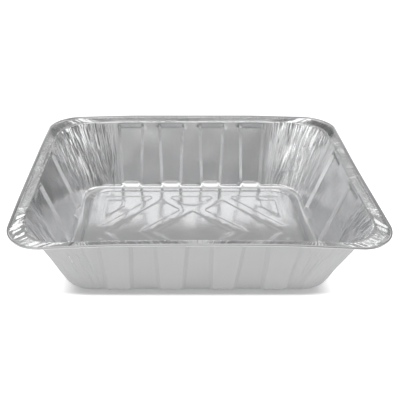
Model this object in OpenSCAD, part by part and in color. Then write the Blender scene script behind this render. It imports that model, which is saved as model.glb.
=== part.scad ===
// Deep rectangular roasting pan, stamped and gathered from one sheet of aluminium foil.
// Origin at the middle of the footprint, +X along the length, +Z up.

/* [Rim] */
// Length over the rolled rim
rim_l = 426; // [390:1:460]
// Width over the rolled rim
rim_w = 340; // [315:1:380]
// Height over the rolled rim
pan_h = 101.5; // [80:0.5:130]
// Corner radius of the rim, to its outer edge
rim_r = 42.5; // [32:0.5:56]
// Radius of the rolled bead round the rim
bead_r = 1.5; // [1:0.1:2.5]
// Width of the sloping flange, from the middle of the bead to the top of the wall
flange_w = 13.8; // [9:0.2:20]
// How far the flange rises from the top of the wall to the middle of the bead
flange_rise = 2.9; // [0:0.1:6]
// Corner radius where the wall meets the flange
throat_r = 47.7; // [38:0.1:58]
// How far the corners of the rim sag
corner_sag = 2.8; // [0:0.1:6]
// How far the front long edge of the rim is bowed inward
front_bow = 3.5; // [0:0.1:8]
// How far the right short edge of the rim is bowed inward
right_bow = 2.6; // [0:0.1:8]

/* [Wall] */
// Thickness of the foil
foil = 0.12; // [0.1:0.01:0.3]
// How far the floor lies inside the top of the wall, seen from above
lean = 33.3; // [20:0.1:42]
// Corner radius where the wall meets the floor
floor_r = 38; // [25:0.5:44]
// Radius of the bend between wall and floor
bend_r = 7; // [5:0.5:10]

/* [Wall panels] */
// Panels on each long wall
long_panels = 4; // [2:1:5]
// Panels on each short wall
short_panels = 2; // [1:1:3]
// Gathered wall between a corner and the nearest panel of a long wall, at the floor
long_flank = 17.2; // [12:0.2:26]
// Gathered wall between a corner and the nearest panel of a short wall, at the floor
short_flank = 24.4; // [14:0.2:30]
// Width of a panel at its head
panel_head_w = 41; // [34:0.5:43]
// Width of a panel at its foot
panel_foot_w = 33; // [26:0.5:40]
// How far a panel is pressed outward
panel_depth = 3.5; // [1.5:0.1:5]
// Width of the sloping side of a panel
panel_side_w = 3; // [2:0.1:5]
// Height of the sloping ledge at the foot of a panel, above the floor
panel_foot_h = 7.5; // [6:0.1:11]
// Height of the slope at the head of a panel, below the flange
panel_head_h = 6.5; // [4:0.1:10]

/* [Gathers] */
// Folds round one corner
corner_folds = 8; // [6:1:9]
// Folds between a corner and its nearest panel
flank_folds = 4; // [2:1:4]
// Depth of a fold
fold_depth = 1.4; // [0.4:0.1:2]
// Height of the wrinkles that cross the flange at a corner
wrinkle_h = 1; // [0.2:0.1:1.6]

/* [Floor] */
// Width of the flat ring that the pan rests on
foot_ring_w = 5; // [3:0.5:8]
// Run of the slope from the ring up to the raised floor
step_w = 2.5; // [1.5:0.1:4]
// How far the floor is raised above the ring
floor_rise = 1.6; // [1.4:0.1:3]
// Raised floor between the step and the end of the embossed pattern
end_margin = 17.9; // [10:0.1:24]
// Raised floor between the step and the side of the embossed pattern
side_margin = 12.9; // [8:0.1:18]
// Depth of the fields sunk into the raised floor
field_depth = 1.3; // [0.5:0.1:1.3]
// Corner radius of a field
field_r = 5; // [3:0.5:6]
// Width of the sloping edge of a field
field_side_w = 2.6; // [1.5:0.1:2.8]
// Width of the ribs between the fields
rib_w = 11; // [7:0.5:14]
// Half length of the diamond in the middle, to the middle of its rounded corner
diamond_x = 50; // [42:0.5:58]
// Half width of the field between the tails of the crossing ribs, the same way
tail_x = 27; // [22:0.5:32]
// Radius of the rounded foot of that field
saddle_r = 26; // [12:0.5:30]
// From the middle to the inner tip of a corner field, the same way
chevron_x = 64; // [58:0.5:70]
// Angle of the chevron ribs to the length
chevron_angle = 47.5; // [44:0.5:52]
// Length of the raised island in a corner field
island_l = 32; // [20:1:38]
// Width of the raised island in a corner field
island_w = 18; // [12:0.5:22]
// Gap between that island and the edge of its field
island_gap = 8; // [5:0.5:10]

/* [Hidden] */
foil_color = [0.80, 0.81, 0.82];

function lerp(a, b, t) = a + (b - a) * t;
function clamp(t) = min(1, max(0, t));
function ease(t) = let (c = clamp(t)) c * c * (3 - 2 * c);

// Heights and insets of the section, to the middle of the foil
bead_z = pan_h - bead_r;
throat_z = bead_z - flange_rise;
throat_in = bead_r + flange_w;
floor_z = foil / 2;
floor_in = throat_in + lean;
wall_turn = 90 - atan(lean / (throat_z - floor_z));
bend_in = floor_in + bend_r * tan(wall_turn / 2);
ring_in = bend_in + foot_ring_w;
raised_in = ring_in + step_w;
raised_z = floor_z + floor_rise;

// The rim's edge is rolled down and under, from its crest back towards the flange
roll_r = bead_r - foil / 2;
roll_from = 100;
roll_to = -150;
roll_steps = 5;
brow_in = 2 * bead_r + 1;
brow_z = bead_z + 0.5;

// Rows of the section from the raised floor to the rolled edge, each
// [inset, height, corner radius, panel share, fold share, wrinkle share]
function floor_row(inset, z) = [inset, z, floor_r - (inset - floor_in) / 2, 0, 0, 0];
function bend_row(t) =
    let (turn = t * wall_turn)
    [bend_in - bend_r * sin(turn), floor_z + bend_r * (1 - cos(turn)), floor_r, 0, t / 4, 0];
function wall_row(z, panel, fold) =
    let (t = (z - floor_z) / (throat_z - floor_z))
    [lerp(floor_in, throat_in, t), z, lerp(floor_r, throat_r, t), panel, fold, 0];
function rim_row(inset, z, wrinkle) = [inset, z, rim_r - inset, 0, 0, wrinkle];
function roll_row(a) = rim_row(bead_r - roll_r * cos(a), bead_z + roll_r * sin(a), 0);
section = [
    floor_row(raised_in, raised_z),
    floor_row(ring_in, floor_z),
    bend_row(0),
    bend_row(0.6),
    wall_row(panel_foot_h, 1, 0.7),
    wall_row(throat_z - panel_head_h, 1, 1),
    wall_row(throat_z, 0, 0.6),
    rim_row(brow_in, brow_z, 1),
    for (i = [0 : roll_steps]) roll_row(lerp(roll_from, roll_to, i / roll_steps))
];
last_row = len(section) - 1;
first_roll_row = len(section) - 1 - roll_steps;

// A row moved off the middle of the foil, down and out for a positive d
function spot(i) =
    i < 0 ? spot(0) + [1, 0] :
    i > last_row ? 2 * spot(last_row) - spot(last_row - 1) :
    [section[i][0], section[i][1]];
function side_of(v) = [-v[1], v[0]] / norm(v);
function face_row(i, d) =
    let (a = side_of(spot(i) - spot(i - 1)), b = side_of(spot(i + 1) - spot(i)),
         move = d * (a + b) / (1 + a * b))
    [section[i][0] + move[0], section[i][1] + move[1], for (k = [2 : 5]) section[i][k]];

// The four walls in turn: front, right, back and left
function heading(k) = [cos(90 * k), sin(90 * k)];
function outward(k) = heading(k - 1);
function half_across(k) = (k % 2 == 0 ? rim_w : rim_l) / 2;
function half_along(k) = half_across(k + 1);
function panel_count(k) = k % 2 == 0 ? long_panels : short_panels;
function flank(k) = k % 2 == 0 ? long_flank : short_flank;
function reach(k, row) = half_along(k) - row[0] - row[2];
function panel_pitch(k) =
    2 * (half_along(k) - floor_in - floor_r - flank(k) - panel_foot_w / 2) / max(1, panel_count(k) - 1);

// Stations along one wall, each [place, panel share, fold share]
function fold_share(i) = (i % 2 == 0 ? 1 : -1) * (0.8 + 0.2 * sin(137 * i));
function panel_stations(k, w) = [
    for (i = [0 : panel_count(k) - 1]) let (c = (i - (panel_count(k) - 1) / 2) * panel_pitch(k))
        each [[c - w, 0, 0], [c - w + panel_side_w, 1, 0], [c + w - panel_side_w, 1, 0], [c + w, 0, 0]]];
function flank_stations(from, to) = [
    for (i = [1 : 2 * flank_folds]) let (f = i / (2 * flank_folds + 1))
        [lerp(from, to, f), 0, f * fold_share(i + 1)]];
function backward(list) = [for (i = [len(list) - 1 : -1 : 0]) list[i]];
function wall_stations(k, row) =
    let (w = lerp(panel_foot_w, panel_head_w, clamp(row[1] / throat_z)) / 2,
         edge = (panel_count(k) - 1) / 2 * panel_pitch(k) + w)
    concat(backward(flank_stations(-edge, -reach(k, row))),
           panel_stations(k, w),
           flank_stations(edge, reach(k, row)));

// The corners of the rim sag, and two of its edges are bowed inward
function end_share(t) = ease((abs(t) - 0.35) / 0.65);
function bow(along, across) = clamp(across) * clamp(1 - along * along);
function settled(p) =
    let (up = clamp(p[2] / bead_z), x = p[0] * 2 / rim_l, y = p[1] * 2 / rim_w,
         long = p[0] / (rim_l / 2 - rim_r), short = p[1] / (rim_w / 2 - rim_r))
    [p[0] - up * right_bow * bow(short, x),
     p[1] + up * front_bow * bow(long, -y),
     p[2] - up * up * corner_sag * end_share(x) * end_share(y)];

// A closed ring of points round the pan at one row
function wall_point(k, row, s) =
    let (out = half_across(k) - row[0] + panel_depth * row[3] * s[1] + fold_depth / 2 * row[4] * s[2])
    [each (s[0] * heading(k) + out * outward(k)), row[1] + wrinkle_h / 2 * row[5] * s[2]];
function corner_point(k, row, i) =
    let (fold = fold_share(i), a = 90 * (k - 1 + i / (2 * corner_folds)),
         out = row[2] + fold_depth / 2 * row[4] * fold,
         middle = reach(k, row) * heading(k) + (half_across(k) - row[0] - row[2]) * outward(k))
    [each (middle + out * [cos(a), sin(a)]), row[1] + wrinkle_h / 2 * row[5] * fold];
function ring(row) = [
    for (k = [0 : 3]) each [
        for (s = wall_stations(k, row)) settled(wall_point(k, row, s)),
        for (i = [0 : 2 * corner_folds]) settled(corner_point(k, row, i))]];

// A skin through a stack of rings, with a flat face at each end. Rings after last_inner lie on the
// other face of the foil, and are cut along the other diagonal, so that the faces stay parallel
module loft(rings, last_inner) {
    n = len(rings[0]);
    top = len(rings) - 1;
    polyhedron(
        points = [for (r = rings) each r],
        faces = [
            [for (i = [n - 1 : -1 : 0]) i],
            for (j = [0 : top - 1], i = [0 : n - 1]) let (a = j * n + i, b = j * n + (i + 1) % n)
                each j < last_inner ? [[a, b, a + n], [b, b + n, a + n]] : [[a, b, b + n], [a, b + n, a + n]],
            [for (i = [0 : n - 1]) top * n + i]]);
}

// Up the inside and over the roll, then back down the outside, in bigger steps within the roll
module stamped_sheet() {
    loft([
        for (i = [0 : last_row]) ring(face_row(i, -foil / 2)),
        for (i = [last_row : -2 : first_roll_row]) ring(face_row(i, foil / 2)),
        for (i = [first_roll_row - 1 : -1 : 0]) ring(face_row(i, foil / 2))], last_row);
}

// The embossed pattern, by the middles of the rounded corners of its fields
pattern_x = rim_l / 2 - raised_in - end_margin - field_r;
pattern_y = rim_w / 2 - raised_in - side_margin - field_r;
rib_gap = rib_w + 2 * field_r;
saddle_y = pattern_y - tail_x;
diamond_y = saddle_y - 2 * sqrt(2) * field_r;
arm_angle = -atan(diamond_y / diamond_x);
arm_x = diamond_x + rib_gap / sin(-arm_angle);
saddle_turn = saddle_r - field_r;

// Where two lines meet, each given by a point and its angle
function meet(p, a, q, b) =
    let (t = ((q[0] - p[0]) * sin(b) - (q[1] - p[1]) * cos(b)) / sin(b - a))
    p + t * [cos(a), sin(a)];

diamond = [[diamond_x, 0], [0, diamond_y], [-diamond_x, 0], [0, -diamond_y]];
saddle = [
    for (a = [-45 : 22.5 : 45]) [saddle_turn * sin(a), saddle_y + saddle_turn * (sqrt(2) - cos(a))],
    [tail_x, pattern_y], [-tail_x, pattern_y]];
tail_foot = [0, saddle_y - rib_gap * sqrt(2)];
chevron_tip = [chevron_x, pattern_y];
chevron_foot = chevron_tip - [rib_gap / sin(chevron_angle), 0];
side_field = [
    meet([arm_x, 0], arm_angle, tail_foot, 45),
    meet(tail_foot, 45, chevron_foot, -chevron_angle),
    meet(chevron_foot, -chevron_angle, [0, 0], 0),
    [arm_x, 0]];
corner_field = [
    chevron_tip,
    [pattern_x, pattern_y],
    meet(chevron_tip, -chevron_angle, [pattern_x, 0], 90)];
island_x = pattern_x - island_gap + field_side_w;
island_y = pattern_y - island_gap - field_side_w;
island = [
    [island_x, island_y],
    [island_x - island_w, island_y],
    [island_x - island_w, island_y - island_l / 3],
    [island_x, island_y - island_l]];

module dish(corners, low_r, high_r) {
    hull() for (p = corners)
        translate([p[0], p[1], -field_depth]) cylinder(r1 = low_r, r2 = high_r, h = field_depth, $fn = 12);
}
module field(corners) dish(corners, field_r - field_side_w, field_r);
module raised(corners) dish(corners, field_r, field_r - field_side_w);

module quarter_fields() {
    field(side_field);
    difference() {
        field(corner_field);
        raised(island);
    }
}
module floor_fields() {
    field(diamond);
    for (back = [0, 1]) mirror([0, back, 0]) {
        field(saddle);
        for (left = [0, 1]) mirror([left, 0, 0]) quarter_fields();
    }
}

module foil_pan() color(foil_color) {
    difference() {
        union() {
            stamped_sheet();
            translate([0, 0, raised_z]) floor_fields();
        }
        translate([0, 0, raised_z + foil]) floor_fields();
    }
}

foil_pan();
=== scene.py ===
import math

import bpy
import numpy as np
from mathutils.geometry import delaunay_2d_cdt
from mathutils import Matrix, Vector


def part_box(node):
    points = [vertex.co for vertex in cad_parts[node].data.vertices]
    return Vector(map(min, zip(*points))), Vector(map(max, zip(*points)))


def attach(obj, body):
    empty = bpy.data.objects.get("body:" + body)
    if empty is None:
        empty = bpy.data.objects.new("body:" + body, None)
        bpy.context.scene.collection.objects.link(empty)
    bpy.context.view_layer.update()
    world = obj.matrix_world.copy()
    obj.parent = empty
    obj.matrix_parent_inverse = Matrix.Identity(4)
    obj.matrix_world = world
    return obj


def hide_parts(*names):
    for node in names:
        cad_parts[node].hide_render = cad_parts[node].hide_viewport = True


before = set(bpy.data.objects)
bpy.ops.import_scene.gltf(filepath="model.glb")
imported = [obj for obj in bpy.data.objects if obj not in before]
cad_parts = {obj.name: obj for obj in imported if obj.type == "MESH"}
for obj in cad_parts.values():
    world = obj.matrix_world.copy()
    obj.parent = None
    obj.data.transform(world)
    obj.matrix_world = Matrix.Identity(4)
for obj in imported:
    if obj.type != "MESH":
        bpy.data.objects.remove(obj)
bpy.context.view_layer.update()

# A deep rectangular roasting pan stamped from one sheet of foil. Lengths are in millimetres
# until a mesh is made. The rim's length, width and height come from the frame.
MM = 0.001
low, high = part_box("foil_pan")
rim_l, rim_w, pan_h = ((high[i] - low[i]) / MM for i in range(3))
chance = np.random.default_rng(7)

# Rim. The roll runs from its start over the top and round to its end, in degrees.
bead_r = 1.5
flange_w = 13.8
flange_rise = 2.9
rim_r = 42.5
throat_r = 47.7
groove_gap = 0.1
groove_depth = 0.9
roll_start, roll_end = 195, -150
roll_rows = 8

# How the rim has settled
corner_sag = 2.8
sag_start = 0.35
front_bow = 3.5
right_bow = 2.6

# Wall. Its straight part begins where this share of the bend at its foot has been turned.
foil = 0.12
lean = 33.3
floor_r = 38.0
bend_r = 7.0
bend_share = 0.6
bead_z = pan_h - bead_r
throat_z = bead_z - flange_rise
throat_in = bead_r + flange_w
floor_in = throat_in + lean
floor_z = foil / 2
wall_turn = math.pi / 2 - math.atan(lean / (throat_z - floor_z))
bend_in = floor_in + bend_r * math.tan(wall_turn / 2)
foot_low = floor_z + bend_r * (1 - math.cos(bend_share * wall_turn))

# Wall panels
long_panels, short_panels = 4, 2
long_flank, short_flank = 17.2, 24.4
panel_head_w, panel_foot_w = 41.0, 33.0
panel_depth = 3.5
panel_side_w = 4.6
panel_foot_h = 7.5
panel_head_h = 9.6
panel_top_gap = 1.6
shoulder_drop = 2.0
shoulder_fade = 9

# The bevel where the wall turns into the flange
throat_bevel = 1.7
throat_slope = math.radians(39)
throat_edge = 0.25

# Floor
foot_ring_w = 5.0
step_w = 4.5
floor_rise = 1.25
ring_in = bend_in + foot_ring_w
raised_in = ring_in + step_w
raised_z = floor_z + floor_rise
end_margin, side_margin = 17.9, 12.9
field_depth = 0.8
field_r = 5.0
field_side_w = 3.0
rib_w = 11.0
diamond_x = 50.0
tail_x = 27.0
saddle_r = 26.0
chevron_x = 64.0
chevron_angle = math.radians(47.5)
island_l, island_w, island_gap = 32.0, 18.0, 8.0
wave_depth, curl_depth = 0.05, 0.012

# The pleats of the gathered corners. They thin out along the flanks, and a share of them hangs
# from the top and ends above the foot.
pleat_step = 1.1
pleat_slope = 0.38
pleat_reach = 1.7
pleat_drift = 1.6
pleat_fade = 25
hanging_pleats = 0.35
sway_depth, fine_depth, swell_depth = 0.3, 0.2, 0.14

# The dents low in the middle of the short walls
dent_depth = 0.55
dent_low, dent_high = 4, 26
dent_end, dent_fade = 28.9, 17.0

# The creases that cross the flange. They are wider apart on the sides and the back than in front,
# lean towards the middle of each wall on their way out, and are strongest round the corners.
corner_step, front_step, far_step = 1.25, 1.2, 1.5
crease_slope = 0.65
corner_crease, long_crease, short_crease = 1.2, 0.85, 0.6
crease_grit = 0.06
crease_wander = 0.05
crease_slant, corner_slant = 9.0, 0.3
slant_fade = 25
throat_share = 0.6
roll_share = 0.08
roll_limit = 0.05
sharp_angle = math.radians(32)

# How crumpled the foil is: 0 where it is smooth, 1 in the gathers, and more on the flange
front_crumple, far_crumple = 1.1, 1.4

# The meshing of what is smooth
gap_step = 5.0
slope_step = 3.4
fill_step, fill_jitter = 7, 0.8
edge_clear, slope_clear = 2.5, 1.5

# Greys
BLACK, WHITE, PAPER = (0, 0, 0, 1), (1, 1, 1, 1), (0.8, 0.8, 0.8, 1)


def ease(t):
    t = np.clip(t, 0, 1)
    return t * t * (3 - 2 * t)


def lerp(a, b, t):
    return a + (b - a) * t


class Ripple:
    """A smooth random ripple over two coordinates: crossed sine waves of about one length."""

    def __init__(self, length, stretch=1.0, waves=9):
        turn = chance.uniform(0, 2 * math.pi, waves)
        pace = 2 * math.pi / (length * chance.uniform(0.6, 1.6, waves))
        self.u, self.v = pace * np.cos(turn), pace * np.sin(turn) / stretch
        self.start = chance.uniform(0, 2 * math.pi, waves)
        self.size = math.sqrt(2 / waves)

    def __call__(self, u, v):
        waves = zip(self.u, self.v, self.start)
        return self.size * sum(np.sin(a * u + b * v + c) for a, b, c in waves)


# The four walls in turn are the front, right, back and left one. Anchors along a wall mark its
# ends and the edges of its panels, and a quarter turn follows it.
FLANK, RISE, PANEL, FALL, GAP, TURN = range(6)
half_across = [rim_w / 2, rim_l / 2, rim_w / 2, rim_l / 2]
half_along = [rim_l / 2, rim_w / 2, rim_l / 2, rim_w / 2]
panel_counts = [long_panels, short_panels, long_panels, short_panels]
flanks = [long_flank, short_flank, long_flank, short_flank]


def anchors(k, inset, z, radius):
    """Where the anchors of wall k lie along it, at one row of the section."""
    reach = half_along[k] - inset - radius
    last = half_along[k] - floor_in - floor_r - flanks[k] - panel_foot_w / 2
    w = lerp(panel_foot_w, panel_head_w, min(1, max(0, z / throat_z))) / 2
    edges = [c + d for c in np.linspace(-last, last, panel_counts[k])
             for d in (-w, panel_side_w - w, w - panel_side_w, w)]
    return np.array([-reach] + edges + [reach])


stretches = [[FLANK] + ([RISE, PANEL, FALL, GAP] * n)[:-1] + [FLANK, TURN] for n in panel_counts]
kinds = np.concatenate(stretches)
walls = np.concatenate([[k] * len(row) for k, row in enumerate(stretches)])
first_anchor = np.concatenate([np.arange(len(row)) for row in stretches])
lengths = [np.append(np.diff(anchors(k, throat_in, throat_z, throat_r)), throat_r * math.pi / 2)
           for k in range(4)]
marks = np.concatenate([[0], np.cumsum(np.concatenate(lengths))])
girth = marks[-1]


class Ring:
    """Points round the pan at one row of the section, for places measured along the throat."""

    def __init__(self, places, inset, z, radius):
        s = places % girth
        piece = np.clip(np.searchsorted(marks, s, side="right") - 1, 0, len(kinds) - 1)
        self.kind, self.wall = kinds[piece], walls[piece]
        self.part = (s - marks[piece]) / (marks[piece + 1] - marks[piece])
        self.along, across, turn = np.zeros((3, len(places)))
        for k in range(4):
            on = (self.wall == k) & (self.kind != TURN)
            row, i = anchors(k, inset, z, radius), first_anchor[piece[on]]
            self.along[on] = lerp(row[i], row[i + 1], self.part[on])
            across[on] = half_across[k] - inset
            on = (self.wall == k) & (self.kind == TURN)
            turn[on] = self.part[on] * math.pi / 2
            self.along[on] = half_along[k] - inset - radius + radius * np.sin(turn[on])
            across[on] = half_across[k] - inset - radius + radius * np.cos(turn[on])
        angle = self.wall * math.pi / 2
        ahead = np.c_[np.cos(angle), np.sin(angle)]
        beside = np.c_[np.sin(angle), -np.cos(angle)]
        self.place = self.along[:, None] * ahead + across[:, None] * beside
        self.out = np.sin(turn)[:, None] * ahead + np.cos(turn)[:, None] * beside

    def panel(self):
        """1 on a panel, falling to 0 over its sloping sides."""
        side = np.where(self.kind == FALL, 1 - self.part, self.part)
        return np.where((self.kind == RISE) | (self.kind == FALL), side,
                        np.where(self.kind == PANEL, 1.0, 0.0))

    def shoulder(self):
        """0 over the middle of a panel, rising to 1 at its sides."""
        near = np.where(self.kind == PANEL, ease(4 * abs(2 * self.part - 1) - 3), 0.0)
        return np.where((self.kind == RISE) | (self.kind == FALL), 1.0, near)

    def gather(self):
        """1 round a corner, falling to 0 along the flank up to the nearest panel."""
        flank = np.where(self.along < 0, 1 - self.part, self.part)
        return np.where(self.kind == TURN, 1.0, np.where(self.kind == FLANK, flank, 0.0))


def settled(points):
    """The rim's corners sag, and its front and right edges are bowed inward."""
    px, py, pz = points.T
    up = np.clip(pz / bead_z, 0, 1)
    x, y = px * 2 / rim_l, py * 2 / rim_w
    long, short = px / (rim_l / 2 - rim_r), py / (rim_w / 2 - rim_r)
    corner = ease((abs(x) - sag_start) / (1 - sag_start)) * ease((abs(y) - sag_start) / (1 - sag_start))
    return np.c_[px - up * right_bow * np.clip(x, 0, 1) * np.clip(1 - short ** 2, 0, 1),
                 py + up * front_bow * np.clip(-y, 0, 1) * np.clip(1 - long ** 2, 0, 1),
                 pz - up * up * corner_sag * corner]


class Sheet:
    """The middle surface of the foil, built up from rings of points and the faces between them."""

    def __init__(self):
        self.points, self.crumple, self.faces, self.creases = [], [], [], []
        self.count = 0

    def add(self, points, crumple):
        """Adds points, with how crumpled the foil is at each, and returns their numbers."""
        self.points.append(points)
        self.crumple.append(np.broadcast_to(crumple, len(points)))
        self.count += len(points)
        return np.arange(self.count - len(points), self.count)

    def band(self, inner, outer, creased):
        """Four-sided faces between two rings of as many points. The edges from ring to ring stay
        sharp where the foil is creased."""
        self.faces += np.c_[inner, outer, np.roll(outer, -1), np.roll(inner, -1)].tolist()
        self.creases.append(np.c_[inner, outer][creased])

    def stitch(self, inner, inner_s, outer, outer_s):
        """Triangles between two rings whose points lie at different places round the pan."""
        n, m = len(inner), len(outer)
        i, j = int(np.argmin(inner_s)), int(np.argmin(outer_s))
        a = np.append(np.roll(inner_s, -i), inner_s[i] + girth)
        b = np.append(np.roll(outer_s, -j), outer_s[j] + girth)
        p, q = np.roll(inner, -i), np.roll(outer, -j)
        i = j = 0
        while i < n or j < m:
            if j == m or (i < n and a[i + 1] < b[j + 1]):
                self.faces.append([p[i], q[j % m], p[(i + 1) % n]])
                i += 1
            else:
                self.faces.append([p[i % n], q[j], q[(j + 1) % m]])
                j += 1


def spread(steps, start, end):
    """Columns from start up to end, with gaps in proportion to the steps."""
    return start + (end - start) * np.append(0, np.cumsum(steps)[:-1]) / steps.sum()


def fold_depths(s, slope, uneven):
    """How far each column stands out, and every other one in, so that the folds between them have
    about this slope, unevenly."""
    n = len(s)
    width = (np.roll(s, -1) - np.roll(s, 1)) % girth / 2
    return np.where(np.arange(n) % 2, 1, -1) * slope * width / 2 * chance.uniform(*uneven, n)


def throat_bend():
    """[inset, height, corner radius] of the rows of the bevel between wall and flange."""
    wall_slope, flange_slope = math.atan2(throat_z - floor_z, lean), math.atan2(flange_rise, flange_w)
    turn = math.sin(wall_slope - flange_slope)
    below = throat_bevel * math.sin(throat_slope - flange_slope) / turn
    beyond = throat_bevel * math.sin(wall_slope - throat_slope) / turn
    foot_in = throat_in + below * math.cos(wall_slope)
    foot_z = throat_z - below * math.sin(wall_slope)
    rows = [[foot_in + throat_edge * math.cos(wall_slope), foot_z - throat_edge * math.sin(wall_slope)]]
    for along in (throat_edge, throat_bevel - throat_edge):
        rows.append([foot_in - along * math.cos(throat_slope), foot_z + along * math.sin(throat_slope)])
    along = beyond + throat_edge
    rows.append([throat_in - along * math.cos(flange_slope), throat_z + along * math.sin(flange_slope)])
    return [row + [throat_r] for row in rows]


# The wall, from the raised floor up into the throat bend. Its columns are dense where it is gathered.

def wall_columns():
    """Uneven columns where the foil is pleated, and few where it is smooth, closer by a panel's edge."""
    places = []
    for kind, start, end in zip(kinds, marks, marks[1:]):
        if kind in (FLANK, TURN):
            steps = chance.uniform(0.35, 1.65, round((end - start) / pleat_step))
        elif kind == GAP:
            steps = np.ones(round((end - start) / gap_step))
        elif kind == PANEL:
            steps = np.array([1, 1.5, 2.5, 5, 5, 2.5, 1.5, 1])
        else:
            steps = np.array([1, 4, 4, 1])
        places.append(spread(steps, start, end))
    return np.concatenate(places)


def wall_rows():
    """[inset, height, corner radius, panel share, pleat share] from the raised floor to the throat."""
    rows = []
    for t in (0, 0.25, 0.5, 0.75, 1):
        inset = lerp(raised_in, ring_in, t)
        rows.append([inset, lerp(raised_z, floor_z, ease(t)), floor_r - (inset - floor_in) / 2, 0, 0])
    for t in (0, 0.2, 0.4, bend_share):
        turn = t * wall_turn
        rows.append([bend_in - bend_r * math.sin(turn), floor_z + bend_r * (1 - math.cos(turn)),
                     floor_r, 0, t / 2])
    head, crown_h = throat_z - panel_head_h, panel_head_h - panel_top_gap
    ledge = [lerp(foot_low, panel_foot_h, t) for t in (0.3, 0.65, 0.95)]
    body = [panel_foot_h + d for d in (0.3, 1.8, 4, 7, 11)] + list(np.linspace(24, head - 6, 9))
    crown = [head + crown_h * t for t in (-0.25, 0, 0.25, 0.5, 0.75, 1)]
    for z in ledge + body + crown:
        # A panel stands out from its foot up to a rounded slope at its head. The pleats are shallow
        # near the foot, and a little shallower again under the flange.
        t = (z - floor_z) / (throat_z - floor_z)
        crown_share = np.clip((head + crown_h - z) / crown_h, 0, 1)
        panel = np.clip((z - foot_low) / (panel_foot_h - foot_low), 0, 1)
        panel *= lerp(crown_share, ease(crown_share), 0.4)
        pleat = lerp(0.35, 1, ease(z / 30)) * lerp(1, 0.7, ease((z - head) / panel_head_h))
        rows.append([lerp(floor_in, throat_in, t), z, lerp(floor_r, throat_r, t), panel, pleat])
    return rows + [row + [0, throat_share] for row in throat_bend()[:2]]


def add_wall(sheet):
    """The wall, row by row. Returns the places of its columns, and its lowest and highest ring."""
    s = wall_columns()
    n = len(s)
    depth = fold_depths(s, pleat_slope, (0.3, 1.3))
    length, start = chance.uniform(50, 160, n), chance.uniform(0, 2 * math.pi, n)
    foot = np.where(chance.random(n) < hanging_pleats, chance.uniform(10, 70, n), -50)
    drift, sway, fine = Ripple(45, stretch=2), Ripple(18, stretch=5), Ripple(6, stretch=8)
    swell, dent = Ripple(60), Ripple(18)
    rings = []
    for inset, z, radius, panel, pleat in wall_rows():
        # The pleats wander sideways, and each has its own waves along it.
        gather = Ring(s, inset, z, radius).gather()
        ring = Ring(s + pleat_drift * drift(s, z) * gather * pleat, inset, z, radius)
        folds = depth * (1 + 0.5 * np.sin(2 * math.pi * z / length + start)) * ease((z - foot) / pleat_fade)
        folds += sway_depth * sway(s, z) + fine_depth * fine(s, z)
        out = panel_depth * panel * ring.panel() + pleat * ease(pleat_reach * gather) * folds
        # The whole wall swells a little, and the short walls are dented near the floor.
        out += swell_depth * swell(s, z) * ease(z / 20) * ease((throat_z - z) / 15)
        dented = (ring.wall % 2) * ease((dent_end - abs(ring.along)) / dent_fade)
        dented *= ease((z - dent_low) / 6) * ease((dent_high - z) / 12)
        out += dent_depth * dented * dent(s, z)
        # Beside a panel's foot the foil has sunk along the wall.
        fallen = np.clip((z - foot_low) / (panel_foot_h - foot_low), 0, 1)
        fallen *= ease((panel_foot_h + shoulder_fade - z) / shoulder_fade)
        drop = shoulder_drop * ring.shoulder() * fallen
        out -= drop * lean / (throat_z - floor_z)
        rings.append(sheet.add(settled(np.c_[ring.place + out[:, None] * ring.out, z - drop]), gather))
    for inner, outer in zip(rings, rings[1:]):
        sheet.band(inner, outer, gather > 0)
    return s, rings[0], rings[-1]


# The flange and the roll, with columns of their own, which cross the flange at a slant.

def flange_columns():
    """Uneven columns, each the ridge or the groove of a crease."""
    places = []
    for kind, wall, start, end in zip(kinds, walls, marks, marks[1:]):
        step = corner_step if kind in (FLANK, TURN) else far_step if wall else front_step
        steps = chance.uniform(0.65, 1.35, max(1, round((end - start) / step)))
        places.append(spread(steps, start, end))
    return np.concatenate(places)


def rim_rows():
    """[inset, height, corner radius, crease share] from the throat bend to the end of the roll."""
    groove_in, groove_z = 2 * bead_r + groove_gap, bead_z - groove_depth
    rows = [row + [throat_share] for row in throat_bend()[2:]]
    for t, share in ((0.3, 1), (0.5, 1), (0.75, 1), (1, 0.5)):
        rows.append([lerp(throat_in, groove_in, t), lerp(throat_z, groove_z, t),
                     lerp(throat_r, rim_r - groove_in, t), share])
    roll = bead_r - foil / 2 - roll_limit
    for angle in np.linspace(roll_start, roll_end, roll_rows):
        turn = math.radians(angle)
        inset = bead_r - roll * math.cos(turn)
        rows.append([inset, bead_z + roll * math.sin(turn), rim_r - inset, roll_share])
    return rows


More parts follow.
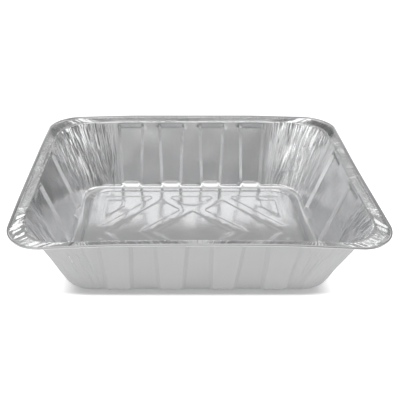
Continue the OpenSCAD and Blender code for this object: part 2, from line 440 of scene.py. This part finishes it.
def add_rim(sheet, wall_s, wall_top):
    """The flange and the roll, stitched to the top of the wall. Returns the ring at the roll's end."""
    s = flange_columns()
    n = len(s)
    throat = Ring(s, throat_in, throat_z, throat_r)
    corner = ease(throat.gather())
    crease = fold_depths(s, crease_slope, (0.6, 1.3))
    patchy = Ripple(60)
    straight = np.where(throat.wall % 2, short_crease, long_crease)
    crease *= lerp(straight * np.clip(1 + 0.15 * patchy(s, 0), 0.7, 1.3), corner_crease, corner)
    toward = np.clip(-throat.along / slant_fade, -1, 1)
    toward = np.where(throat.kind == TURN, 2 * ease(throat.part) - 1, toward)
    slant = toward * crease_slant * lerp(1, corner_slant, corner)
    crumple = lerp(np.where(throat.wall, far_crumple, front_crumple), 1, corner)
    wander = Ripple(12)
    rings, leads = [], []
    for inset, z, radius, share in rim_rows():
        t = (throat_in - inset) / throat_in
        leads.append(s + slant * (t - 0.5))
        ring = Ring(leads[-1], inset, z, radius)
        grit = crease_grit * chance.normal(size=n)
        up = share * (crease + crease_wander * wander(s, 14 * t) + grit)
        if share == roll_share:
            up = np.clip(up, -roll_limit, roll_limit)
        rings.append(sheet.add(settled(np.c_[ring.place, z + up]), share * crumple))
    sheet.stitch(wall_top, wall_s, rings[0], leads[0] % girth)
    flange_rows = len(rings) - roll_rows
    for i, (inner, outer) in enumerate(zip(rings, rings[1:])):
        sheet.band(inner, outer, np.full(n, i < flange_rows))
    return rings[-1]


# The floor, with sunk fields whose outlines are given by the middles of their rounded corners.

def meet(p, a, q, b):
    """Where two lines meet, each given by a point and its angle."""
    t = ((q[0] - p[0]) * math.sin(b) - (q[1] - p[1]) * math.cos(b)) / math.sin(b - a)
    return p[0] + t * math.cos(a), p[1] + t * math.sin(a)


def floor_fields():
    """Each field's corners and its height: sunk for a field, raised for an island within one. There
    is a diamond in the middle, a saddle before and behind it, a field at its left and right, and one
    in each corner, with the island."""
    x = rim_l / 2 - raised_in - end_margin - field_r
    y = rim_w / 2 - raised_in - side_margin - field_r
    gap = rib_w + 2 * field_r
    saddle_y = y - tail_x
    diamond_y = saddle_y - 2 * math.sqrt(2) * field_r
    arm = -math.atan(diamond_y / diamond_x)
    arm_x = diamond_x + gap / math.sin(-arm)
    turn = saddle_r - field_r
    saddle = [(turn * math.sin(a), saddle_y + turn * (math.sqrt(2) - math.cos(a)))
              for a in np.radians(np.linspace(-45, 45, 7))] + [(tail_x, y), (-tail_x, y)]
    tail = (0, saddle_y - gap * math.sqrt(2))
    tip, chevron_foot = (chevron_x, y), (chevron_x - gap / math.sin(chevron_angle), y)
    inner = meet((arm_x, 0), arm, tail, math.pi / 4)
    outer = meet(tail, math.pi / 4, chevron_foot, -chevron_angle)
    end = meet(chevron_foot, -chevron_angle, (0, 0), 0)
    side = [inner, outer, end, (outer[0], -outer[1]), (inner[0], -inner[1]), (arm_x, 0)]
    corner = [tip, (x, y), meet(tip, -chevron_angle, (x, 0), math.pi / 2)]
    island_x, island_y = x - island_gap + field_side_w, y - island_gap - field_side_w
    island = [(island_x, island_y), (island_x - island_w, island_y),
              (island_x - island_w, island_y - island_l / 3), (island_x, island_y - island_l)]
    fields = [([(diamond_x, 0), (0, diamond_y), (-diamond_x, 0), (0, -diamond_y)], -field_depth)]
    for sx, sy in ((1, 1), (-1, 1), (-1, -1), (1, -1)):
        fields.append(([(sx * a, sy * b) for a, b in corner], -field_depth))
        fields.append(([(sx * a, sy * b) for a, b in island], field_depth))
    for way in (1, -1):
        fields.append(([(a, way * b) for a, b in saddle], -field_depth))
        fields.append(([(way * a, b) for a, b in side], -field_depth))
    return [(np.array(corners), rise) for corners, rise in fields]


def distance(points, corners):
    """Distance of each point outside a polygon, below 0 within it."""
    nearest, inside = np.full(len(points), 1e9), np.zeros(len(points), bool)
    for a, b in zip(corners, np.roll(corners, -1, axis=0)):
        side, rel = b - a, points - a
        t = np.clip(rel @ side / (side @ side), 0, 1)
        nearest = np.minimum(nearest, np.hypot(*(rel - t[:, None] * side).T))
        over = (a[1] > points[:, 1]) != (b[1] > points[:, 1])
        lift = np.where(over, side[1], 1)
        inside ^= over & (points[:, 0] < a[0] + (points[:, 1] - a[1]) * side[0] / lift)
    return np.where(inside, -nearest, nearest)


def outline(corners, away, step):
    """Points a fixed distance outside a polygon, round its corners and along its sides."""
    if np.cross(np.roll(corners, -1, axis=0) - corners, np.roll(corners, -2, axis=0) - corners).sum() < 0:
        corners = corners[::-1]
    side = np.roll(corners, -1, axis=0) - corners
    turn = np.arctan2(-side[:, 0], side[:, 1])
    points = []
    for i, corner in enumerate(corners):
        before = turn[i - 1]
        swing = (turn[i] - before + math.pi) % (2 * math.pi) - math.pi
        for a in before + swing * np.linspace(0, 1, 2 + int(max(0, swing) * away / step * 1.6)):
            points.append(corner + away * np.array([math.cos(a), math.sin(a)]))
        count = int(np.hypot(*side[i]) / step)
        edge = away * np.array([math.cos(turn[i]), math.sin(turn[i])])
        points += [corner + edge + side[i] * t for t in np.linspace(0, 1, count + 2)[1:-1]]
    points = np.array(points)
    return points[distance(points, corners) > away - 0.05]


def add_floor(sheet, edge):
    """The raised floor inside the wall's lowest ring, whose points are the edge."""
    fields = floor_fields()
    rim = np.concatenate(sheet.points)[edge][:, :2]
    half = np.array([rim_l, rim_w]) / 2 - raised_in
    levels = field_r - field_side_w * np.array([0, 0.25, 0.5, 0.75, 1])
    slopes = [outline(corners, away, slope_step) for corners, rise in fields for away in levels]
    x, y = np.meshgrid(*(np.arange(-reach, reach, fill_step) for reach in half))
    x[::2] += fill_step / 2
    fill = np.c_[x.ravel(), y.ravel()] + chance.uniform(-fill_jitter, fill_jitter, (x.size, 2))
    keep = distance(fill, rim) < -edge_clear
    for corners, rise in fields:
        keep &= abs(distance(fill, corners) - levels.mean()) > field_side_w / 2 + slope_clear
    flat = np.concatenate(slopes + [fill[keep]])
    height = np.full(len(flat), raised_z)
    for corners, rise in fields:
        height += rise * ease((field_r - distance(flat, corners)) / field_side_w)
    wave, curl = Ripple(70), Ripple(24)
    calm = ease(-distance(flat, rim) / 15)
    height += calm * (wave_depth * wave(*flat.T) + curl_depth * curl(*flat.T))
    numbers = np.concatenate([edge, sheet.add(np.c_[flat, height], 0)])
    n = len(edge)
    loop = [(i, (i + 1) % n) for i in range(n)]
    given = [tuple(p) for p in np.concatenate([rim, flat])]
    _, _, triangles, sources, _, _ = delaunay_2d_cdt(given, loop, [], 1, 1e-4)
    sheet.faces += [[numbers[sources[i][0]] for i in face] for face in triangles]


def facing(points, faces):
    """The way the sheet faces at each point."""
    way = np.zeros_like(points)
    for size in (3, 4):
        face = np.array([f for f in faces if len(f) == size])
        a, b, c, d = (points[face[:, i]] for i in (0, 1, size - 2, size - 1))
        push = np.cross(c - a, d - b) if size == 4 else np.cross(b - a, d - a)
        for i in range(size):
            np.add.at(way, face[:, i], push)
    return way / np.linalg.norm(way, axis=1)[:, None]


def two_sides(faces, end, count):
    """The faces of the foil's inside and outside, closed by a strip along the end of the roll. Both
    sides are cut along the same diagonals, so that they never cross."""
    inside = [face[:3] for face in faces] + [[f[0], f[2], f[3]] for f in faces if len(f) == 4]
    outside = [[i + count for i in reversed(face)] for face in inside]
    return inside + outside + np.c_[end, end + count, np.roll(end, -1) + count, np.roll(end, -1)].tolist()


def paint(mesh, name, values):
    """Gives each point a number for the material to read."""
    mesh.attributes.new(name, "FLOAT", "POINT").data.foreach_set("value", values)


def sharpen(mesh, creases):
    """Smooth shading, with sharp edges where the surface bends a lot and along the creases."""
    mesh.shade_smooth()
    mesh.set_sharp_from_angle(angle=sharp_angle)
    ends = np.zeros(2 * len(mesh.edges), np.int32)
    mesh.edges.foreach_get("vertices", ends)
    sharp = np.zeros(len(mesh.edges), bool)
    mesh.attributes["sharp_edge"].data.foreach_get("value", sharp)
    key = [1, len(mesh.vertices)]
    sharp |= np.isin(np.sort(ends.reshape(-1, 2), axis=1) @ key, np.sort(creases, axis=1) @ key)
    mesh.attributes["sharp_edge"].data.foreach_set("value", sharp)


def make_pan():
    """The pan as one closed mesh: the sheet's two sides, half the foil's thickness from its middle."""
    sheet = Sheet()
    wall_s, floor_edge, wall_top = add_wall(sheet)
    add_floor(sheet, floor_edge)
    end = add_rim(sheet, wall_s, wall_top)
    middle = np.concatenate(sheet.points)
    count = len(middle)
    normal = facing(middle, sheet.faces)
    both = np.concatenate([middle + normal * foil / 2, middle - normal * foil / 2])
    mesh = bpy.data.meshes.new("pan_foil")
    mesh.from_pydata((both * MM).tolist(), [], two_sides(sheet.faces, end, count))
    paint(mesh, "crumple", np.tile(np.concatenate(sheet.crumple), 2))
    paint(mesh, "outside", np.repeat([0.0, 1.0], count))
    creases = np.concatenate(sheet.creases)
    sharpen(mesh, np.concatenate([creases, creases + count]))
    pan = bpy.data.objects.new("pan_foil", mesh)
    bpy.context.collection.objects.link(pan)
    pan.data.materials.append(foil_material())
    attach(pan, "root")
    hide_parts("foil_pan")


class Wire:
    """A node's output. Arithmetic on it adds Math nodes."""

    def __init__(self, bench, socket):
        self.bench, self.socket = bench, socket

    def other(self, name):
        """Another output of the same node."""
        return Wire(self.bench, self.socket.node.outputs[name])

    def math(self, operation, *values):
        return self.bench.add("Math", {"operation": operation}, dict(enumerate(values)))

    def __add__(self, other):
        return self.math("ADD", self, other)

    def __sub__(self, other):
        return self.math("SUBTRACT", self, other)

    def __mul__(self, other):
        return self.math("MULTIPLY", self, other)

    def __radd__(self, other):
        return self.math("ADD", other, self)

    def __rsub__(self, other):
        return self.math("SUBTRACT", other, self)

    def __rmul__(self, other):
        return self.math("MULTIPLY", other, self)

    def __abs__(self):
        return self.math("ABSOLUTE", self)


class Bench:
    """The node tree of one material or world."""

    def __init__(self, tree):
        self.tree = tree
        tree.nodes.clear()

    def add(self, kind, settings=(), sockets=(), out=0):
        node = self.tree.nodes.new("ShaderNode" + kind)
        for name, value in dict(settings).items():
            setattr(node, name, value)
        for name, value in dict(sockets).items():
            if isinstance(value, Wire):
                self.tree.links.new(value.socket, node.inputs[name])
            else:
                node.inputs[name].default_value = value
        return Wire(self, node.outputs[out]) if node.outputs else node

    def mix(self, share, first, second):
        """A colour between two, at this share of the way."""
        return self.add("Mix", {"data_type": "RGBA"}, {0: share, 6: first, 7: second}, 2)

    def ramp(self, value, start, end, first, last, kind="SMOOTHSTEP"):
        """The first number up to the start, the last one from the end on, and a slope between."""
        return self.add("MapRange", {"interpolation_type": kind},
                        {"Value": value, 1: start, 2: end, 3: first, 4: last})

    def vector(self, operation, *values, out=0):
        return self.add("VectorMath", {"operation": operation}, dict(enumerate(values)), out)


def new_material(name):
    material = bpy.data.materials.new(name)
    material.use_nodes = True
    return material, Bench(material.node_tree)


def foil_material():
    """Rolled foil, shiny inside and dull outside, a little cloudy, with fine lines from the rolling
    and a crackle where it is crumpled, strongest on the flange."""
    material, bench = new_material("foil")
    place = bench.add("TexCoord", out="Object")

    def noise(scale, detail, stretch=(1, 1, 1)):
        spot = bench.add("Mapping", {}, {"Vector": place, "Scale": stretch})
        return bench.add("TexNoise", {}, {"Vector": spot, "Scale": scale, "Detail": detail})

    crumple = bench.add("Attribute", {"attribute_name": "crumple"}, out="Fac")
    outside = bench.add("Attribute", {"attribute_name": "outside"}, out="Fac")
    rolled = noise(900, 3, (1, 0.02, 0.02))
    cloud = noise(28, 2)
    peel = noise(160, 2)
    crackle = noise(600, 3)
    # The pan's bottom, its lowest few millimetres, is the smoothest part of the foil.
    height = bench.add("SeparateXYZ", {}, {"Vector": place}, "Z")
    bottom = bench.ramp(height, 0.002, 0.004, 1, 0, "LINEAR")
    flange = bench.ramp(crumple, 1, far_crumple, 0, 6, "LINEAR")
    roughness = 0.17 + 0.05 * cloud + 0.06 * rolled - 0.07 * crumple - 0.05 * bottom + 0.5 * outside
    shade = bench.mix(0.6 * cloud + 0.4 * rolled, (0.70, 0.705, 0.71, 1), (0.80, 0.80, 0.805, 1))
    # The outside is darker: partly the dull side of the foil, partly painted shade that stands in for the
    # shaded floor it mirrors.
    shade = bench.mix(outside, shade, (0.62, 0.62, 0.625, 1))
    relief = (0.3 * rolled + 0.3 * peel) * (1 - 0.4 * bottom) + crackle * (0.05 + 0.8 * crumple + flange)
    bump = bench.add("Bump", {}, {"Height": relief, "Strength": 1.0, "Distance": 0.00012})
    shader = bench.add("BsdfPrincipled", {}, {
        "Base Color": shade, "Metallic": 1.0, "Roughness": roughness, "Normal": bump})
    bench.add("OutputMaterial", {}, {"Surface": shader})
    return material


def floor_material():
    """White paper that keeps the pan's shadow and adds a painted shadow to it. Its glow makes it look white
    to the camera and, less so, in reflections, except in a rounded patch under the pan, given by half its
    size in metres, where the glow is dimmed into a painted shadow."""
    shadow_patch_half = (0.12, 0.1245, 0)
    # Past the patch the painted shadow ends sooner before and behind the pan than beside it.
    shadow_patch_squash = (1, 6, 1)
    shadow_start, shadow_end = 0.018, 0.058
    material, bench = new_material("floor")
    paper = bench.add("BsdfDiffuse", {}, {"Color": PAPER})
    off = bench.vector("ABSOLUTE", bench.add("TexCoord", out="Object"))
    off = bench.vector("SUBTRACT", off, shadow_patch_half)
    off = bench.vector("MAXIMUM", off, (0, 0, 0))
    off = bench.vector("MULTIPLY", off, shadow_patch_squash)
    away = bench.vector("LENGTH", off, out="Value")
    # Painted shadow: the floor's glow, to the camera and in reflections, is dimmed in and round the patch
    # under the pan.
    share = bench.ramp(away, shadow_start, shadow_end, 0.09, 1)
    camera = bench.add("LightPath", out="Is Camera Ray")
    mirrored = camera.other("Is Glossy Ray") + camera.other("Is Transmission Ray")
    seen = camera * share + (0.25 + 0.35 * share) * mirrored
    glow = bench.add("Emission", {}, {"Color": bench.mix(seen, BLACK, PAPER)})
    both = bench.add("AddShader", {}, {0: paper, 1: glow})
    bench.add("OutputMaterial", {}, {"Surface": both})
    return material


def make_floor():
    """The pale floor that the pan stands on, which reaches the horizon."""
    reach = 20
    mesh = bpy.data.meshes.new("floor")
    mesh.from_pydata([(-reach, -reach, 0), (reach, -reach, 0), (reach, reach, 0), (-reach, reach, 0)],
                     [], [(0, 1, 2, 3)])
    floor = bpy.data.objects.new("floor", mesh)
    bpy.context.collection.objects.link(floor)
    mesh.materials.append(floor_material())


def make_camera():
    """The photograph's view, fitted to the outlines of the pan."""
    data = bpy.data.cameras.new("camera")
    data.lens = 51.67
    data.sensor_width = 36
    data.shift_x = 0.0717
    camera = bpy.data.objects.new("camera", data)
    camera.location = (-0.0309, -0.6526, 0.4608)
    camera.rotation_euler = (math.radians(57.97), 0, 0)
    bpy.context.collection.objects.link(camera)
    bpy.context.scene.camera = camera


def make_lamp(name, place, target, size, radiance):
    """A flat softbox. Its power is what gives its face the radiance asked for."""
    data = bpy.data.lights.new(name, "AREA")
    data.shape = "RECTANGLE"
    data.size, data.size_y = size
    data.energy = radiance * math.pi * size[0] * size[1]
    lamp = bpy.data.objects.new(name, data)
    lamp.location = place
    way = np.subtract(target, place)
    lamp.rotation_euler = (math.atan2(math.hypot(way[0], way[1]), -way[2]), 0,
                           math.atan2(way[1], way[0]) - math.pi / 2)
    bpy.context.collection.objects.link(lamp)


def make_lamps():
    """Softboxes above, in front and at both sides of the pan."""
    make_lamp("overhead_softbox", (0, -0.42, 1.7), (0, -0.36, 0), (2.4, 0.62), 0.91)
    make_lamp("front_softbox", (-0.4, -1.75, 1.02), (0, 0, 0.05), (2.0, 0.4), 1.2)
    make_lamp("left_softbox", (-1.4, -0.3, 0.9), (0, 0, 0.1), (1.1, 0.8), 1.15)
    make_lamp("right_softbox", (1.4, -0.3, 1.0), (0, 0, 0.1), (1.1, 1.0), 1.6)


def make_room():
    """The studio round the pan, as the foil mirrors it. To the camera it is white."""
    world = bpy.data.worlds.new("studio")
    world.use_nodes = True
    bench = Bench(world.node_tree)
    x = bench.add("SeparateXYZ", {}, {"Vector": bench.add("TexCoord")})
    y, z = x.other("Y"), x.other("Z")
    # The room is pale low down and towards the back, and palest straight behind the pan. Its
    # ceiling is pale too, and more so in the middle.
    tone = 0.11 * y + bench.ramp(z, 0.2, 0.5, 0.60, 0.34)
    tone = tone + bench.ramp(z, 0.6, 0.75, 0, 0.12) + bench.ramp(z, 0.84, 0.95, 0, 0.3)
    tone = tone + bench.ramp(y, 0.86, 0.95, 0, 0.25)
    # Its sides are darker below the ceiling, the right one most.
    dark = bench.ramp(abs(x) - 0.15 * y, 0.2, 0.5, 0, 1) * bench.ramp(x, -0.7, 0.7, 0.35, 0.6)
    tone = tone * (1 - dark * bench.ramp(z, 0.55, 0.75, 1, 0.2))
    # A pale spot stands at the front left, and a pale band half way up across the front.
    tone = tone + bench.ramp(-0.52 * x - 0.8 * y + 0.3 * z, 0.87, 0.975, 0, 0.4)
    front = bench.ramp(-1 * y, 0.3, 0.6, 0, 1)
    tone = tone + front * bench.ramp(z, 0.42, 0.6, 0, 0.26) * bench.ramp(z, 0.7, 0.88, 1, 0.4)
    camera = bench.add("LightPath", out="Is Camera Ray")
    tone = tone * (1 - camera) + camera
    shade = bench.add("Background", {}, {"Color": bench.mix(tone, BLACK, WHITE)})
    bench.add("OutputWorld", {}, {"Surface": shade})
    bpy.context.scene.world = world


make_camera()
make_pan()
make_floor()
make_lamps()
make_room()
bpy.context.scene.view_settings.view_transform = "Standard"
